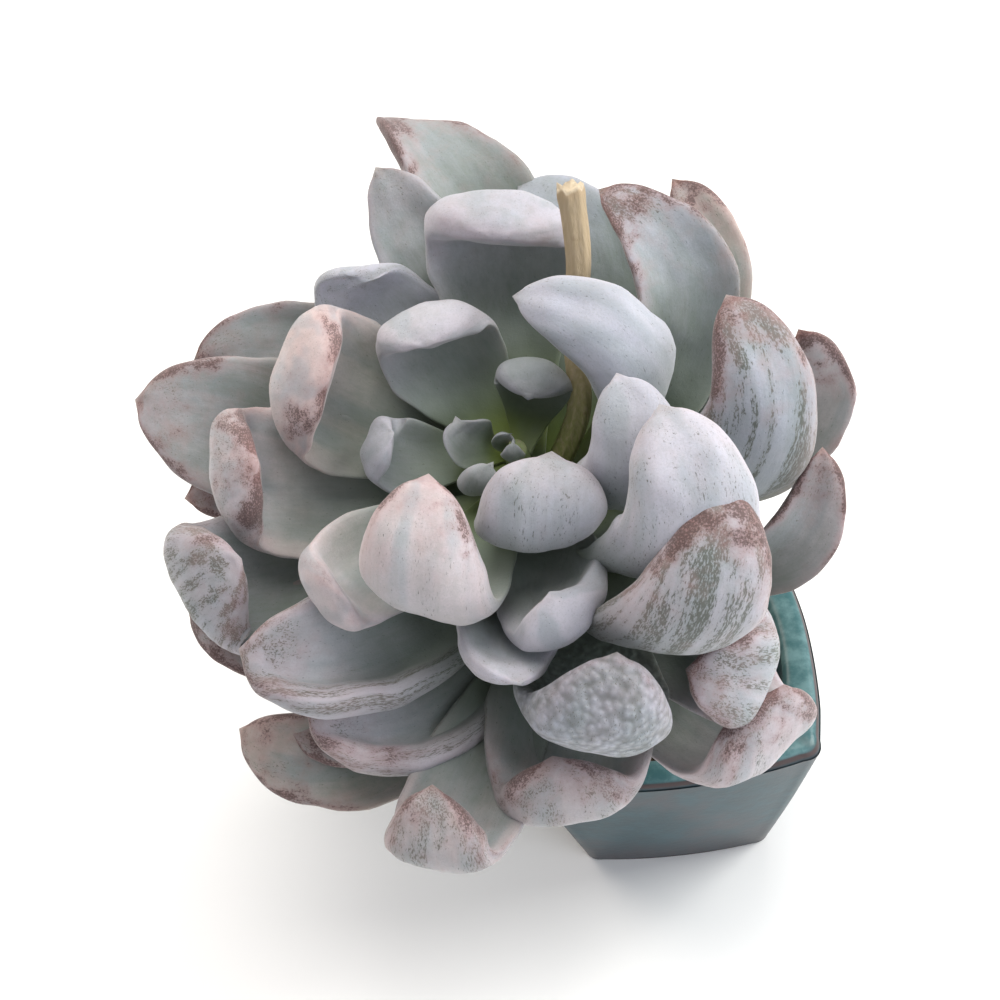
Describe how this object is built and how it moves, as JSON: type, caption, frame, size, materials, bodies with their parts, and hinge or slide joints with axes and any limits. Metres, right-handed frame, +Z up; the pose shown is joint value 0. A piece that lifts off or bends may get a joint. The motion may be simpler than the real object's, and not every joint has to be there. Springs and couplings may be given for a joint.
{
  "type": "potted succulent plant",
  "caption": "Rosette of thick, hooked, frosted spoon-shaped leaves on a short leaning stem, with a cut dry flower stalk, in a small square glazed ceramic pot.",
  "frame": {"origin": "centre of the pot's underside", "axes": "+Z up out of the pot, -Y toward the pot's front side, +X to the right seen from the front"},
  "size_m": [0.1654, 0.1646, 0.1859],
  "materials": {
    "pot_glaze": "satin teal-grey glaze that breaks to brown at the edges and near the foot",
    "soil": "matt, crumbly dark bark compost with pale grit",
    "stem": "matt grey-green stem with leaf scars",
    "dry_stalk": "matt, dry, straw-coloured stalk with a ragged cut end",
    "young_leaf": "powdery bloom over grey-green with pink points",
    "inner_leaf": "powdery white bloom over grey-green, finely streaked, pink at the points",
    "middle_leaf": "powdery white bloom with grey-olive speckled streaks, pink at the points",
    "outer_leaf": "lavender-white bloom with grey-olive speckled streaks and dusky pink points",
    "old_leaf": "thin bloom over pinkish brown-grey, with worn brown ridges"
  },
  "bodies": {
    "root": {"pot": "pot_glaze", "soil": "soil", "stem": "stem", "flower_stalk": "dry_stalk", "heart_leaves": "young_leaf", "inner_leaf_1": "inner_leaf", "inner_leaf_2": "inner_leaf", "inner_leaf_3": "inner_leaf", "inner_leaf_4": "inner_leaf", "inner_leaf_5": "inner_leaf", "inner_leaf_6": "inner_leaf", "middle_leaf_1": "middle_leaf", "middle_leaf_2": "middle_leaf", "middle_leaf_3": "middle_leaf", "middle_leaf_4": "middle_leaf", "middle_leaf_5": "middle_leaf", "middle_leaf_6": "middle_leaf", "middle_leaf_7": "middle_leaf", "middle_leaf_8": "middle_leaf", "outer_leaf_1": "outer_leaf", "outer_leaf_2": "outer_leaf", "outer_leaf_3": "outer_leaf", "outer_leaf_4": "outer_leaf", "outer_leaf_5": "outer_leaf", "outer_leaf_6": "outer_leaf", "outer_leaf_7": "outer_leaf", "outer_leaf_8": "outer_leaf", "outer_leaf_9": "outer_leaf", "lower_leaf_1": "old_leaf", "lower_leaf_2": "old_leaf", "lower_leaf_3": "old_leaf", "lower_leaf_4": "old_leaf", "lower_leaf_5": "old_leaf", "lower_leaf_6": "old_leaf", "lower_leaf_7": "old_leaf", "lower_leaf_8": "old_leaf", "lower_leaf_9": "old_leaf", "lower_leaf_10": "old_leaf", "lower_leaf_11": "old_leaf", "lower_leaf_12": "old_leaf", "lower_leaf_13": "old_leaf", "lower_leaf_14": "old_leaf", "lower_leaf_15": "old_leaf", "lower_leaf_16": "old_leaf", "lower_leaf_17": "old_leaf", "lower_leaf_18": "old_leaf", "lower_leaf_19": "old_leaf", "lower_leaf_20": "old_leaf"}
  },
  "joints": []
}
